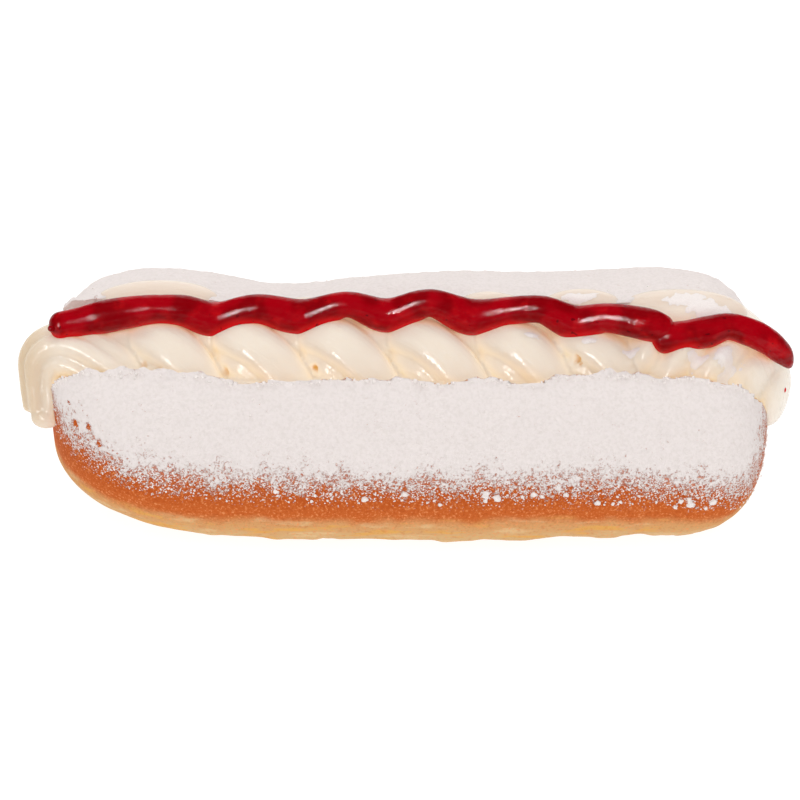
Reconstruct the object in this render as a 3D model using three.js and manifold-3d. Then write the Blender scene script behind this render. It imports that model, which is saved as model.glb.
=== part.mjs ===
// Cream finger bun: a soft finger roll opened along its top,
// with piped cream in the cut and a line of jam on the cream.
// Millimetres. +X runs along the roll, +Y to its back half, +Z up. The roll stands on Z = 0.

import * as THREE from "three";
import { ParametricGeometry } from "three/addons/geometries/ParametricGeometry.js";
import { mergeVertices } from "three/addons/utils/BufferGeometryUtils.js";
import Module from "manifold-3d";

const wasm = await Module();
wasm.setup();

const clearance = 0.3; // air between touching pieces

// Roll
const rollLeft = -82.8;
const rollRight = 84.8;
const rollHalfWidth = 36;
const waistHeight = 15;
const crownRise = 29; // waist to crown before the cut
const baseDrop = 16.6; // waist to the lowest point of the rounded section
const crownPower = 2.1; // 2 is an ellipse, more is squarer
const basePower = 2.6;
const rollAround = 34;
const rollAlong = 44;
const leftEnd = { crownRadius: 12, baseRadius: 66, topRadius: 5, backTopRadius: 13, footRadius: 56 };
const rightEnd = { crownRadius: 12, baseRadius: 32, topRadius: 19, footRadius: 26 };
const backTopFull = 0.6; // cosine of the angle round the roll at which the back's own left top radius is full
const endPower = 2.4;
const barrel = 0.08; // share of its width that the roll loses from the middle to the ends
const backScale = 0.97; // the back half is a little smaller, apart from its swells
const backShare = { from: -0.4, full: 0.5 }; // cosines of the angle round the roll from level at the back
const swellFullUp = 0.5; // sine of that angle at which the swells are full
const backSwells = [
  { at: -58, reach: 20, share: 0.09 },
  { at: 12, reach: 24, share: 0.055 },
  { at: 58, reach: 22, share: 0.1 },
];

// Cut along the top
const lipReach = { front: 16, back: 4.8 }; // from the middle of the cut at the lips' height
const lipHeight = 41;
const cutFloor = 12;
const cutFloorRadius = 2.5;
const cutFloorHalf = 1.5;
const thinnestFloorHalf = 0.2;
const cutOver = 30; // the cutting wedge stands this far above the lips
const cutEndOver = 10; // and this far out of each end
const cutFloorSegments = 4;
const cutTurn = -1.2; // degrees in plan, nearer the front at its right end

// Cream: a filling in the cut, a core along it with a ribbed right end,
// piped loops lying on the front of the core and mounds leaning on the back half of the roll
const fillingTop = 37;
const fillingHollow = { floor: 34, front: -15, frontFoot: -9, backFoot: 0, back: 2.5 }; // under the piping
const fillingInset = 2; // from the skin of the roll
const fillingPlay = 0.5; // from the walls of the cut
const creamLeft = -85;
const creamRight = 89.5;
const coreHeight = 28; // of the core's axis
const coreDrop = 16;
const corePower = 2.6;
const coreEnd = { left: 14, right: 22 };
const leftMass = { side: 1, halfWidth: 12.5, rise: 14 };
const underLoops = { side: 5.5, halfWidth: 11, rise: 14.6 };
const ribbedEnd = { side: 1.5, halfWidth: 17.5, rise: 17.3 };
const leftMassEnd = -74;
const underLoopsStart = -56;
const rightDroop = { start: 64, end: 90, depth: 3 };
const coreAround = 24;
const coreAlong = 54;
const coreCoarse = { share: 0.28, end: 48 }; // this share of the stations lies left of the ribs
const ribPitch = 6.5;
const ribDepth = 1.8;
const ribLean = 10; // how far a rib leans along X from the top to the front
const ribSide = { full: -0.5, none: 0.1 }; // cosines of the angle round the core from level at the back
const ribStart = 46;
const ribFull = 56;
const leanStart = -20;
const leanFull = 40;
const leanFade = 80; // from here the lean fades to the tip
const mounds = [
  { middle: [-57.5, 8, 42.6], reach: [14.8, 6.6, 4] },
  { middle: [19.5, 6, 42.5], reach: [9, 4.6, 3.4] },
  { middle: [41, 6, 42.6], reach: [10, 5, 4.2] },
  { middle: [63, 4.5, 42.4], reach: [16, 7, 4.4] },
];
const tailFold = { middle: [-82.2, -13.1, 25.7], reach: [3.6, 2.5, 2.5] }; // under the end of the tail
const moundAround = 14;
const moundAlong = 8;

// Piped loops: a ribbed strand laid in tilted loops, each lapping the one on its right
const loopStarts = [-52.5, -32.1, -12.1, 8.4, 28.6, 45.9];
const endLoopStart = -71.8;
const loopY = -13.7;
const loopZ = 24.9;
const loopTilt = 50; // degrees that the loop's plane leans back from level
const loopLap = 12; // degrees that a loop's right side stands out over the next
// Stations from the low right end: across and up in the plane, out of the plane, strand radius
const loopStations = [
  [9.4, 0.2, 0, 6.2],
  [6.4, 4.5, 0, 6.9],
  [3.3, 8.9, 0, 7.6],
  [-0.3, 13.1, -0.1, 8.1],
  [-4.8, 16.3, -0.8, 8.3],
  [-10, 18, -3, 8],
  [-15.5, 18.6, -6.5, 7],
];
// The last loop turns down over the left end of the roll and hangs there as a tail
const endLoopStations = [
  [10.3, 4, 0, 6.2],
  [6.6, 8.7, 0, 6.9],
  [1.8, 12.5, 0, 7.6],
  [-3.3, 15.3, 0, 7.6],
  [-7.8, 15.9, 0, 7.4],
  [-10.8, 13.6, 0, 6.9],
  [-11.6, 9, 0, 6.2],
  [-11.3, 4.6, 0, 5.4],
  [-9.6, 2, 0, 4.4],
];
// Ribs round the strand: degrees from the way the loop faces, groove depth there, rise of the rib after it
const strandRibs = [
  { from: -100, depth: 1, rise: 0.8, samples: 2 },
  { from: -72, depth: 1.4, rise: 1.8, samples: 5 },
  { from: -18, depth: 1.7, rise: 0.95, samples: 4 },
  { from: 20, depth: 0.05, rise: 0.4, samples: 4 },
  { from: 104, depth: 0.8, rise: 0.8, samples: 4 },
];
const ribRoundness = 0.75;
const fullStrandRadius = 8.3; // the ribs are full size on a strand this thick
const strandTaper = 0.12; // share of a strand's length that rounds off at each end
const loopAlong = 14;
const endLoopAlong = 24;

// Jam: a wavy line, and a second run that starts under its right end. Stations: x, y, z, radius
const jamFirstRun = [
  [-81.6, -3, 44.6, 2.6],
  [-75, -1.4, 45, 3.1],
  [-70, -0.4, 45.6, 3.5],
  [-63, 0.7, 46.3, 3.4],
  [-57, 0.9, 46.9, 3.2],
  [-50.8, 1.1, 46.3, 3.4],
  [-44.3, 1.3, 43.6, 3.8],
  [-34.3, 1.6, 46.4, 3.3],
  [-23.4, 1.9, 43.8, 3.9],
  [-13.6, 1.8, 47.5, 2.8],
  [-4, 1.6, 44.7, 3.7],
  [5.6, 1.4, 48.5, 3],
  [15.3, 1.1, 44.5, 3.9],
  [23.5, 0.5, 46.7, 3.1],
  [31, -0.4, 48.1, 3],
  [39.3, -1.4, 44.9, 3.7],
  [45.3, -2.4, 47.2, 3.2],
  [51, -3.7, 47.4, 3.4],
  [56, -4.8, 47, 3.5],
  [61, -5.8, 45, 2.8],
];
const jamSecondRun = [
  [53, -5.4, 43.4, 3],
  [60, -5.6, 44.2, 3.3],
  [69, -4.5, 45, 3.4],
  [73.5, -4.1, 46, 2.9],
  [78, -4.4, 44.9, 3],
  [82, -4.7, 42.9, 2.9],
  [85, -4.9, 40.3, 2.6],
  [87.4, -5.1, 37, 2.2],
  [88.7, -5.2, 34.2, 1.7],
];
const jamTip = 3; // length that rounds off at each end
const jamSag = 1.25; // how much deeper the line is below its middle than above it
const jamAround = 12;
const jamStep = 2.8; // along the line
const jamTipStations = 4;

const radians = Math.PI / 180;
const mergeReach = 1e-4; // corners closer than this are one corner
const tipShare = 1e-6; // a strand closes to a point within this share of its length

const mix = (a, b, share) => a + (b - a) * share;

function smoothStep(from, to, value) {
  const share = THREE.MathUtils.clamp((value - from) / (to - from), 0, 1);
  return share * share * (3 - 2 * share);
}

// 0 at the tip of a rounded end, 1 once the distance from the tip passes the radius
function endRound(distance, radius, power) {
  const share = THREE.MathUtils.clamp(1 - distance / radius, 0, 1);
  return (1 - share ** power) ** (1 / power);
}

const signedPower = (value, power) => Math.sign(value) * Math.abs(value) ** power;

// Stations crowd towards both ends so that the rounded tips are smooth
const endCrowded = (share) => (1 - Math.cos(Math.PI * share)) / 2;

// A closed solid from a surface: corners that meet are merged and flat slivers dropped
function solidFromGeometry(geometry) {
  geometry.deleteAttribute("normal");
  geometry.deleteAttribute("uv");
  const merged = mergeVertices(geometry, mergeReach);
  const corners = merged.index.array;
  const triangles = [];
  for (let i = 0; i < corners.length; i += 3) {
    const [a, b, c] = corners.slice(i, i + 3);
    if (a !== b && b !== c && c !== a) {
      triangles.push(a, b, c);
    }
  }
  const positions = merged.attributes.position.array;
  return new wasm.Manifold(
    new wasm.Mesh({ numProp: 3, vertProperties: positions, triVerts: new Uint32Array(triangles) }),
  );
}

function solidFromSurface(point, around, along) {
  return solidFromGeometry(new ParametricGeometry(point, around, along));
}

function namedMesh(name, solid, look) {
  const mesh = solid.getMesh();
  const geometry = new THREE.BufferGeometry();
  geometry.setAttribute("position", new THREE.BufferAttribute(new Float32Array(mesh.vertProperties), 3));
  geometry.setIndex(new THREE.BufferAttribute(new Uint32Array(mesh.triVerts), 1));
  geometry.computeVertexNormals();
  const result = new THREE.Mesh(geometry, new THREE.MeshStandardMaterial(look));
  result.name = name;
  return result;
}

function hill(x, swell) {
  const offset = (x - swell.at) / swell.reach;
  return Math.exp(-offset * offset);
}

// How much the back half differs in size from the front half at a station, as a share
const backSwell = (x) => backSwells.reduce((sum, swell) => sum + swell.share * hill(x, swell), backScale - 1);

// The whole roll before the cut
function rollBody(grow) {
  const left = rollLeft - grow;
  const right = rollRight + grow;
  const point = (u, v, target) => {
    const angle = 2 * Math.PI * u;
    const x = mix(left, right, endCrowded(v));
    const fromLeft = x - left;
    const fromRight = right - x;
    const upShare = (Math.sin(angle) + 1) / 2;
    const width =
      (1 - barrel * (x / rollRight) ** 2) *
      endRound(fromLeft, mix(leftEnd.baseRadius, leftEnd.crownRadius, upShare), endPower) *
      endRound(fromRight, mix(rightEnd.baseRadius, rightEnd.crownRadius, upShare), endPower);
    const isUpper = Math.sin(angle) >= 0;
    const isBackTop = smoothStep(0, backTopFull, Math.cos(angle));
    const leftTop = mix(leftEnd.topRadius, leftEnd.backTopRadius, isBackTop);
    const height = isUpper
      ? endRound(fromLeft, leftTop, endPower) * endRound(fromRight, rightEnd.topRadius, endPower)
      : endRound(fromLeft, leftEnd.footRadius, endPower) * endRound(fromRight, rightEnd.footRadius, endPower);
    const power = 2 / (isUpper ? crownPower : basePower);
    const isBack = smoothStep(backShare.from, backShare.full, Math.cos(angle));
    const swell = 1 + backSwell(x) * isBack * smoothStep(0, swellFullUp, Math.sin(angle));
    const y = (rollHalfWidth + grow) * width * swell * signedPower(Math.cos(angle), power);
    const reach = (isUpper ? crownRise : baseDrop) + grow;
    const z = waistHeight + reach * height * swell * signedPower(Math.sin(angle), power);
    target.set(x, y, Math.max(z, -grow));
  };
  return solidFromSurface(point, rollAround, rollAlong);
}

// A bar of the given section that runs out of both ends of the roll
function barAlong(outline) {
  const bar = new THREE.ExtrudeGeometry(outline, {
    depth: rollRight - rollLeft + 2 * cutEndOver,
    bevelEnabled: false,
    curveSegments: cutFloorSegments,
  });
  bar.rotateX(Math.PI / 2);
  bar.rotateZ(Math.PI / 2);
  bar.translate(rollLeft - cutEndOver, 0, 0);
  bar.rotateZ(cutTurn * radians);
  return solidFromGeometry(bar);
}

// The opened cut, a V with a rounded floor, steeper at the back
function cutWedge(shrink) {
  const topHeight = lipHeight + cutOver;
  const floor = cutFloor + shrink;
  const floorHalf = Math.max(cutFloorHalf - shrink, thinnestFloorHalf);
  const slope = (side) => lipReach[side] / (lipHeight - cutFloor);
  const top = (side) => slope(side) * (topHeight - cutFloor) - shrink;
  const wallFoot = (side) => floorHalf + slope(side) * cutFloorRadius;
  const outline = new THREE.Shape();
  outline.moveTo(-top("front"), topHeight);
  outline.lineTo(-wallFoot("front"), floor + cutFloorRadius);
  outline.quadraticCurveTo(-floorHalf, floor, 0, floor);
  outline.quadraticCurveTo(floorHalf, floor, wallFoot("back"), floor + cutFloorRadius);
  outline.lineTo(top("back"), topHeight);
  outline.closePath();
  return barAlong(outline);
}

function roll(grow) {
  return rollBody(grow).subtract(cutWedge(grow));
}

// Fills the cut: level beside the lips, hollow along the middle where the piping lies
function cutFilling() {
  const outline = new THREE.Shape();
  outline.moveTo(-rollHalfWidth, 0);
  outline.lineTo(rollHalfWidth, 0);
  outline.lineTo(rollHalfWidth, fillingTop);
  outline.lineTo(fillingHollow.back, fillingTop);
  outline.lineTo(fillingHollow.backFoot, fillingHollow.floor);
  outline.lineTo(fillingHollow.frontFoot, fillingHollow.floor);
  outline.lineTo(fillingHollow.front, fillingTop);
  outline.lineTo(-rollHalfWidth, fillingTop);
  outline.closePath();
  return cutWedge(fillingPlay).intersect(barAlong(outline)).intersect(rollBody(-fillingInset));
}

// Stations of the core: few where the loops cover it, many along the ribs, crowded at both tips
function coreStation(share, left, right) {
  if (share < coreCoarse.share) {
    return mix(left, coreCoarse.end, 1 - Math.cos((share / coreCoarse.share) * (Math.PI / 2)));
  }
  const ribShare = (share - coreCoarse.share) / (1 - coreCoarse.share);
  return mix(coreCoarse.end, right, Math.sin(ribShare * (Math.PI / 2)));
}

function coreBody(grow) {
  const left = creamLeft - grow;
  const right = creamRight + grow;
  const point = (u, v, target) => {
    const angle = 2 * Math.PI * u;
    const along = coreStation(v, left, right);
    const lean = ribLean * smoothStep(leanStart, leanFull, along) * smoothStep(right, leanFade, along);
    const x = along + lean * Math.min(Math.cos(angle), 0);
    const size = endRound(x - left, coreEnd.left, 2) * endRound(right - x, coreEnd.right, 2);
    const isUpper = Math.sin(angle) >= 0;
    const ribbed = smoothStep(ribStart, ribFull, x);
    const groove = Math.abs(Math.sin((Math.PI * (along - ribStart)) / ribPitch)) - 1;
    const rib = ribDepth * ribbed * groove * smoothStep(ribSide.none, ribSide.full, Math.cos(angle));
    const blend = (key) =>
      mix(
        mix(leftMass[key], underLoops[key], smoothStep(leftMassEnd, underLoopsStart, x)),
        ribbedEnd[key],
        ribbed,
      );
    const axis = coreHeight - rightDroop.depth * smoothStep(rightDroop.start, rightDroop.end, x);
    const reach = (isUpper ? blend("rise") : coreDrop) + grow + rib;
    const power = 2 / (isUpper ? corePower : 2);
    const y = blend("side") + (blend("halfWidth") + grow + rib) * size * signedPower(Math.cos(angle), power);
    const z = axis + reach * size * signedPower(Math.sin(angle), power);
    target.set(x, y, z);
  };
  return solidFromSurface(point, coreAround, coreAlong);
}

function mound({ middle, reach }, grow) {
  const ball = new THREE.SphereGeometry(1, moundAround, moundAlong);
  ball.rotateZ(Math.PI / 2);
  ball.scale(...reach.map((size) => size + grow));
  ball.translate(...middle);
  return solidFromGeometry(ball);
}

// Angles round the strand with the depth of its skin below the full radius
function strandAngles() {
  const angles = [];
  strandRibs.forEach((rib, i) => {
    const isLast = i === strandRibs.length - 1;
    const next = isLast ? strandRibs[0] : strandRibs[i + 1];
    const to = isLast ? next.from + 360 : next.from;
    for (let k = 0; k < rib.samples; k += 1) {
      const share = k / rib.samples;
      const rise = rib.rise * Math.sin(Math.PI * share) ** ribRoundness;
      angles.push({ degrees: mix(rib.from, to, share), depth: mix(rib.depth, next.depth, share) - rise });
    }
  });
  return angles;
}

const splineOf = (stations, first, second) =>
  new THREE.SplineCurve(stations.map((station) => new THREE.Vector2(station[first], station[second])));

// A ribbed strand through stations in the tilted plane of a loop
function pipedStrand(stations, x, along, grow) {
  const angles = strandAngles();
  const path = splineOf(stations, 0, 1);
  const outAndRadius = splineOf(stations, 2, 3);
  const tilt = loopTilt * radians;
  const lap = loopLap * radians;
  const facing = new THREE.Vector3(0, -Math.sin(tilt), Math.cos(tilt));
  const across = new THREE.Vector3(Math.cos(lap), 0, 0).addScaledVector(facing, Math.sin(lap));
  const upward = new THREE.Vector3(0, Math.cos(tilt), Math.sin(tilt));
  const normal = new THREE.Vector3().crossVectors(across, upward).normalize();
  const point = (u, v, target) => {
    const sample = angles[Math.round(u * angles.length) % angles.length];
    const place = path.getPoint(v);
    const heading = path.getTangent(v);
    const { x: out, y: thick } = outAndRadius.getPoint(v);
    const isTip = v < tipShare || v > 1 - tipShare;
    const taper = endRound(Math.min(v, 1 - v), strandTaper, 2);
    const radius = isTip ? 0 : (thick - sample.depth * (thick / fullStrandRadius)) * taper + grow;
    const outward = radius * Math.sin(sample.degrees * radians);
    target.set(x, loopY, loopZ);
    target.addScaledVector(across, place.x + heading.y * outward);
    target.addScaledVector(upward, place.y - heading.x * outward);
    target.addScaledVector(normal, out + radius * Math.cos(sample.degrees * radians));
  };
  return solidFromSurface(point, angles.length, along);
}

function piping(grow) {
  const endLoop = pipedStrand(endLoopStations, endLoopStart, endLoopAlong, grow);
  const loops = loopStarts.map((x) => pipedStrand(loopStations, x, loopAlong, grow));
  const swells = [...mounds, tailFold].map((place) => mound(place, grow));
  return [endLoop, ...loops, ...swells].reduce((sum, piece) => sum.add(piece), coreBody(grow));
}

function cream() {
  return piping(0).add(cutFilling()).subtract(roll(clearance));
}

// One run of jam: round above, a little deeper below, closed by round tips
function jamRun(stations) {
  const line = new THREE.CatmullRomCurve3(
    stations.map(([x, y, z]) => new THREE.Vector3(x, y, z)),
    false,
    "catmullrom",
  );
  const radii = splineOf(stations, 0, 3);
  const length = stations[stations.length - 1][0] - stations[0][0];
  const tip = jamTip / length;
  const middleStations = Math.round(length / jamStep);
  const along = middleStations + 2 * jamTipStations;
  const vertical = new THREE.Vector3(0, 0, 1);
  const stationShare = (step) => {
    const fromEnd = Math.min(step, along - step);
    const tipTurn = (Math.PI / 2) * (1 - fromEnd / jamTipStations);
    const inTip = tip * (1 - Math.sin(tipTurn));
    const inMiddle = mix(tip, 1 - tip, (fromEnd - jamTipStations) / middleStations);
    const share = fromEnd < jamTipStations ? inTip : inMiddle;
    return step <= along / 2 ? share : 1 - share;
  };
  const point = (u, v, target) => {
    const angle = 2 * Math.PI * u;
    const share = stationShare(Math.round(v * along));
    const heading = line.getTangent(share);
    const side = new THREE.Vector3().crossVectors(vertical, heading).normalize();
    const up = new THREE.Vector3().crossVectors(heading, side);
    const isTip = share < tipShare || share > 1 - tipShare;
    const radius = isTip ? 0 : radii.getPoint(share).y * endRound(Math.min(share, 1 - share), tip, 2);
    const sag = Math.sin(angle) < 0 ? jamSag : 1;
    line.getPoint(share, target);
    target.addScaledVector(side, radius * Math.cos(angle));
    target.addScaledVector(up, radius * sag * Math.sin(angle));
  };
  return solidFromSurface(point, jamAround, along);
}

function jam() {
  return jamRun(jamFirstRun).add(jamRun(jamSecondRun)).subtract(piping(clearance)).subtract(roll(clearance));
}

const part = new THREE.Group();
part.name = "cream_finger_bun";
part.add(namedMesh("bun", roll(0), { color: 0xd08a4a, roughness: 0.75 }));
part.add(namedMesh("cream", cream(), { color: 0xf3e6cf, roughness: 0.4 }));
part.add(namedMesh("jam", jam(), { color: 0x8a0812, roughness: 0.12 }));

export default part;
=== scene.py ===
import itertools
import math

import bpy
import numpy as np
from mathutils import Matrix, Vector
from mathutils.bvhtree import BVHTree
from mathutils.kdtree import KDTree


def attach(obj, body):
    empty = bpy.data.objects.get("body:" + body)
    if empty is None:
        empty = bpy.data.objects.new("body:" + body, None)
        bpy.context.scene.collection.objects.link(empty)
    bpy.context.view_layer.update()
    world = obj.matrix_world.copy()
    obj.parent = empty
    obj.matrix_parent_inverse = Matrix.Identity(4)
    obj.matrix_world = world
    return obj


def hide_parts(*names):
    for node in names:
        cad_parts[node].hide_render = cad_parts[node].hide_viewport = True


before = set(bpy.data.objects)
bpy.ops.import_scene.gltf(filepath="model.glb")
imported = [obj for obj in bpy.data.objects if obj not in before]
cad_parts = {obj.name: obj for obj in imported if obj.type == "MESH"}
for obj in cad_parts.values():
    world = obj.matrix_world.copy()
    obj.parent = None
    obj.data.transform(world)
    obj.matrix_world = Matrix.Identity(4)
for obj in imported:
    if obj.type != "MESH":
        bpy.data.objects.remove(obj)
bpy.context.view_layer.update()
print("stage: frame loaded with", sorted(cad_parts))

millimetre = 0.001  # sizes below are in millimetres unless a note says otherwise
tiny = 1e-9  # keeps a length of nought from being divided by


def smoothStep(start, end, value):
    share = np.clip((value - start) / (end - start), 0, 1)
    return share * share * (3 - 2 * share)


def endRound(distance, radius, power):
    # 0 at an end, rising round a corner to 1 at the radius
    share = np.clip(1 - distance / radius, 0, 1)
    return (1 - share**power) ** (1 / power)


def signedPower(value, power):
    return np.sign(value) * np.abs(value) ** power


def hill(x, at, reach):
    return np.exp(-(((x - at) / reach) ** 2))


def within(values, limits):
    return (values > limits[0]) & (values < limits[1])


def fullTurn(count):
    return 2 * math.pi * np.arange(count) / count


def packedAtEnds(left, right, count):
    # stations that lie closer together towards both ends
    share = np.linspace(0, 1, count)
    return left + (right - left) * (1 - np.cos(math.pi * share)) / 2


def turned(x, y, degrees):
    turn = math.radians(degrees)
    return x * math.cos(turn) - y * math.sin(turn), x * math.sin(turn) + y * math.cos(turn)


latticeKeys = {
    "axes": (73856093, 19349663, 83492791),  # large numbers that keep the corners of the cells apart
    "seed": 7919,
    "rounds": [(13, 1274126177), (15, 668265263)],  # shift and factor that stir a key
    "lastShift": 14,
    "largest": 0x7FFFFFFF,
}


def latticeNoise(points, size, seed):
    # smooth noise from -1 to 1 whose lumps are about the given size
    cell = points / size
    base = np.floor(cell).astype(np.int64)
    share = cell - base
    share = share * share * (3 - 2 * share)
    largest = latticeKeys["largest"]
    total = np.zeros(len(points))
    for corner in range(8):
        offset = np.array([corner >> axis & 1 for axis in range(3)])
        key = (base + offset) @ np.array(latticeKeys["axes"]) + seed * latticeKeys["seed"]
        for shift, factor in latticeKeys["rounds"]:
            key = ((key ^ (key >> shift)) * factor) & largest
        weight = np.prod(np.where(offset == 1, share, 1 - share), axis=1)
        total += weight * ((key ^ (key >> latticeKeys["lastShift"])) / (largest // 2) - 1)
    return total


def layeredNoise(points, layers, start=0):
    # layers hold the size, height and seed of their lumps
    total = start
    for size, height, seed in layers:
        total = total + height * latticeNoise(points, size, seed)
    return total


def splineThrough(stations, x):
    # smooth curve through rows of x and one or more values
    rows = np.array(stations, float)
    slopes = np.gradient(rows[:, 1:], rows[:, 0], axis=0)
    index = np.clip(np.searchsorted(rows[:, 0], x) - 1, 0, len(rows) - 2)
    width = rows[index + 1, 0] - rows[index, 0]
    share = np.clip((x - rows[index, 0]) / width, 0, 1)[:, None]
    width = width[:, None]
    first, last = rows[index, 1:], rows[index + 1, 1:]
    square, cube = share**2, share**3
    return (
        (2 * cube - 3 * square + 1) * first
        + (cube - 2 * square + share) * width * slopes[index]
        + (3 * square - 2 * cube) * last
        + (cube - square) * width * slopes[index + 1]
    )


def addObject(name, data):
    made = bpy.data.objects.new(name, data)
    bpy.context.scene.collection.objects.link(made)
    return made


class Shape:
    # points and faces gathered into one mesh
    def __init__(self):
        self.points, self.quads, self.triangles = [], [], []
        self.count = 0

    def addPoints(self, points):
        self.points.append(points)
        self.count += len(points)

    def makeObject(self, name):
        points = np.concatenate(self.points) * millimetre
        quads, triangles = np.concatenate(self.quads), np.concatenate(self.triangles)
        corners = np.concatenate([quads.ravel(), triangles.ravel()]).astype(np.int32)
        sizes = np.concatenate([np.full(len(quads), 4), np.full(len(triangles), 3)]).astype(np.int32)
        starts = np.concatenate([[0], np.cumsum(sizes)[:-1]]).astype(np.int32)
        mesh = bpy.data.meshes.new(name)
        mesh.vertices.add(len(points))
        mesh.vertices.foreach_set("co", points.astype(np.float32).ravel())
        mesh.loops.add(len(corners))
        mesh.loops.foreach_set("vertex_index", corners)
        mesh.polygons.add(len(sizes))
        mesh.polygons.foreach_set("loop_start", starts)
        mesh.update(calc_edges=True)
        mesh.validate()
        mesh.shade_smooth()
        return addObject(name, mesh)


def tubeObject(grid, name):
    # a closed tube whose first and last rows are single points
    columns = grid.shape[1]
    ring = np.arange(columns)
    nextRing = (ring + 1) % columns
    low = 1 + columns * np.arange(len(grid) - 3)[:, None]
    high = low + columns
    quads = np.stack([low + ring, low + nextRing, high + nextRing, high + ring], axis=2)
    tail = 1 + columns * (len(grid) - 2)
    lastRow = tail - columns
    headFan = np.stack([np.zeros(columns, int), 1 + nextRing, 1 + ring], axis=1)
    tailFan = np.stack([np.full(columns, tail), lastRow + ring, lastRow + nextRing], axis=1)
    tube = Shape()
    tube.quads.append(quads.reshape(-1, 4))
    tube.triangles += [headFan, tailFan]
    tube.addPoints(np.concatenate([grid[0, :1], grid[1:-1].reshape(-1, 3), grid[-1, :1]]))
    return tube.makeObject(name)


eggSamples = 64  # rows and columns of an egg-shaped tube


def eggGrid(middle, reach):
    share = np.linspace(0, math.pi, eggSamples)
    along, angle = np.meshgrid(share, fullTurn(eggSamples), indexing="ij")
    width = np.sin(along)
    ball = np.stack([-np.cos(along), width * np.cos(angle), width * np.sin(angle)], axis=2)
    return np.array(middle) + ball * np.array(reach)


def roughened(grid, layers, number=0):
    # layers hold the size, height and seed of their lumps, and the number tells like tubes apart
    for size, height, seed in layers:
        away = grid - grid.mean(axis=1, keepdims=True)
        away /= np.linalg.norm(away, axis=2, keepdims=True) + tiny
        lift = height * latticeNoise(grid.reshape(-1, 3), size, seed + number).reshape(grid.shape[:2])
        lift[0], lift[-1] = 0, 0
        grid = grid + away * lift[..., None]
    return grid


def setMark(mesh, name, values):
    layer = mesh.attributes.get(name) or mesh.attributes.new(name, "FLOAT", "POINT")
    layer.data.foreach_set("value", values.astype(np.float32))


def readVectors(mesh, name):
    flat = np.zeros(len(mesh.vertices) * 3, np.float32)
    mesh.vertices.foreach_get(name, flat)
    return flat.reshape(-1, 3).astype(float)


def readPoints(mesh):
    return readVectors(mesh, "co") / millimetre


def readNormals(mesh):
    return readVectors(mesh, "normal")


def writePoints(mesh, points):
    mesh.vertices.foreach_set("co", (points * millimetre).astype(np.float32).ravel())
    mesh.update()


def keepModified(piece):
    whole = bpy.context.evaluated_depsgraph_get()
    piece.data = bpy.data.meshes.new_from_object(piece.evaluated_get(whole))
    piece.modifiers.clear()


def joined(first, second, operation="UNION"):
    change = first.modifiers.new("join", "BOOLEAN")
    change.operation, change.solver, change.object = operation, "MANIFOLD", second
    keepModified(first)
    bpy.data.objects.remove(second)
    return first


# the roll before it is cut
rollShape = {
    "left": -82.8,
    "right": 84.8,
    "halfWidth": 36,
    "waist": 15,  # height at which the roll is widest
    "crownRise": 29,
    "baseDrop": 16.6,
    "crownPower": 2.1,  # 2 makes a section round, more makes it squarer
    "basePower": 2.6,
    # how far from an end its rounding starts: of the width at crown and base, of the height at top and foot
    "leftEnd": {"crown": 12, "base": 63, "top": 5, "backTop": 13, "foot": 53},
    "rightEnd": {"crown": 12, "base": 29, "top": 19, "foot": 22},
    "endPower": 2.4,
    "backTopReach": (0, 0.6),  # shares of the way from the middle to the back
    "barrel": 0.08,  # share by which the ends are narrower
    "backScale": 0.97,
    "backSwells": [(-58, 20, 0.09), (-30, 12, -0.045), (12, 24, 0.055), (58, 22, 0.1)],  # at, reach, size
    "swellAcross": (-0.4, 0.5),  # the swells fade in towards the back
    "swellUp": (0, 0.5),  # and above the waist
    "around": 280,
    "along": 300,
}


def rollBody():
    shape = rollShape
    left, right, power = shape["left"], shape["right"], shape["endPower"]
    leftEnd, rightEnd = shape["leftEnd"], shape["rightEnd"]
    stations = packedAtEnds(left, right, shape["along"])
    x, angle = np.meshgrid(stations, fullTurn(shape["around"]), indexing="ij")
    sine, cosine = np.sin(angle), np.cos(angle)
    upShare = (sine + 1) / 2

    def endWidth(distance, end):
        return endRound(distance, end["base"] + (end["crown"] - end["base"]) * upShare, power)

    width = (1 - shape["barrel"] * (x / right) ** 2) * endWidth(x - left, leftEnd)
    width = width * endWidth(right - x, rightEnd)
    backShare = smoothStep(*shape["backTopReach"], cosine)
    leftTop = leftEnd["top"] + (leftEnd["backTop"] - leftEnd["top"]) * backShare
    top = endRound(x - left, leftTop, power) * endRound(right - x, rightEnd["top"], power)
    foot = endRound(x - left, leftEnd["foot"], power) * endRound(right - x, rightEnd["foot"], power)
    isUpper = sine >= 0
    height = np.where(isUpper, top, foot)
    curve = np.where(isUpper, 2 / shape["crownPower"], 2 / shape["basePower"])
    swell = shape["backScale"] - 1
    for at, reach, size in shape["backSwells"]:
        swell = swell + size * hill(x, at, reach)
    swell = 1 + swell * smoothStep(*shape["swellAcross"], cosine) * smoothStep(*shape["swellUp"], sine)
    y = shape["halfWidth"] * width * swell * signedPower(cosine, curve)
    reach = np.where(isUpper, shape["crownRise"], shape["baseDrop"])
    z = shape["waist"] + reach * height * swell * signedPower(sine, curve)
    return tubeObject(np.stack([x, y, np.maximum(z, 0)], axis=2), "bun_crust")


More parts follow.
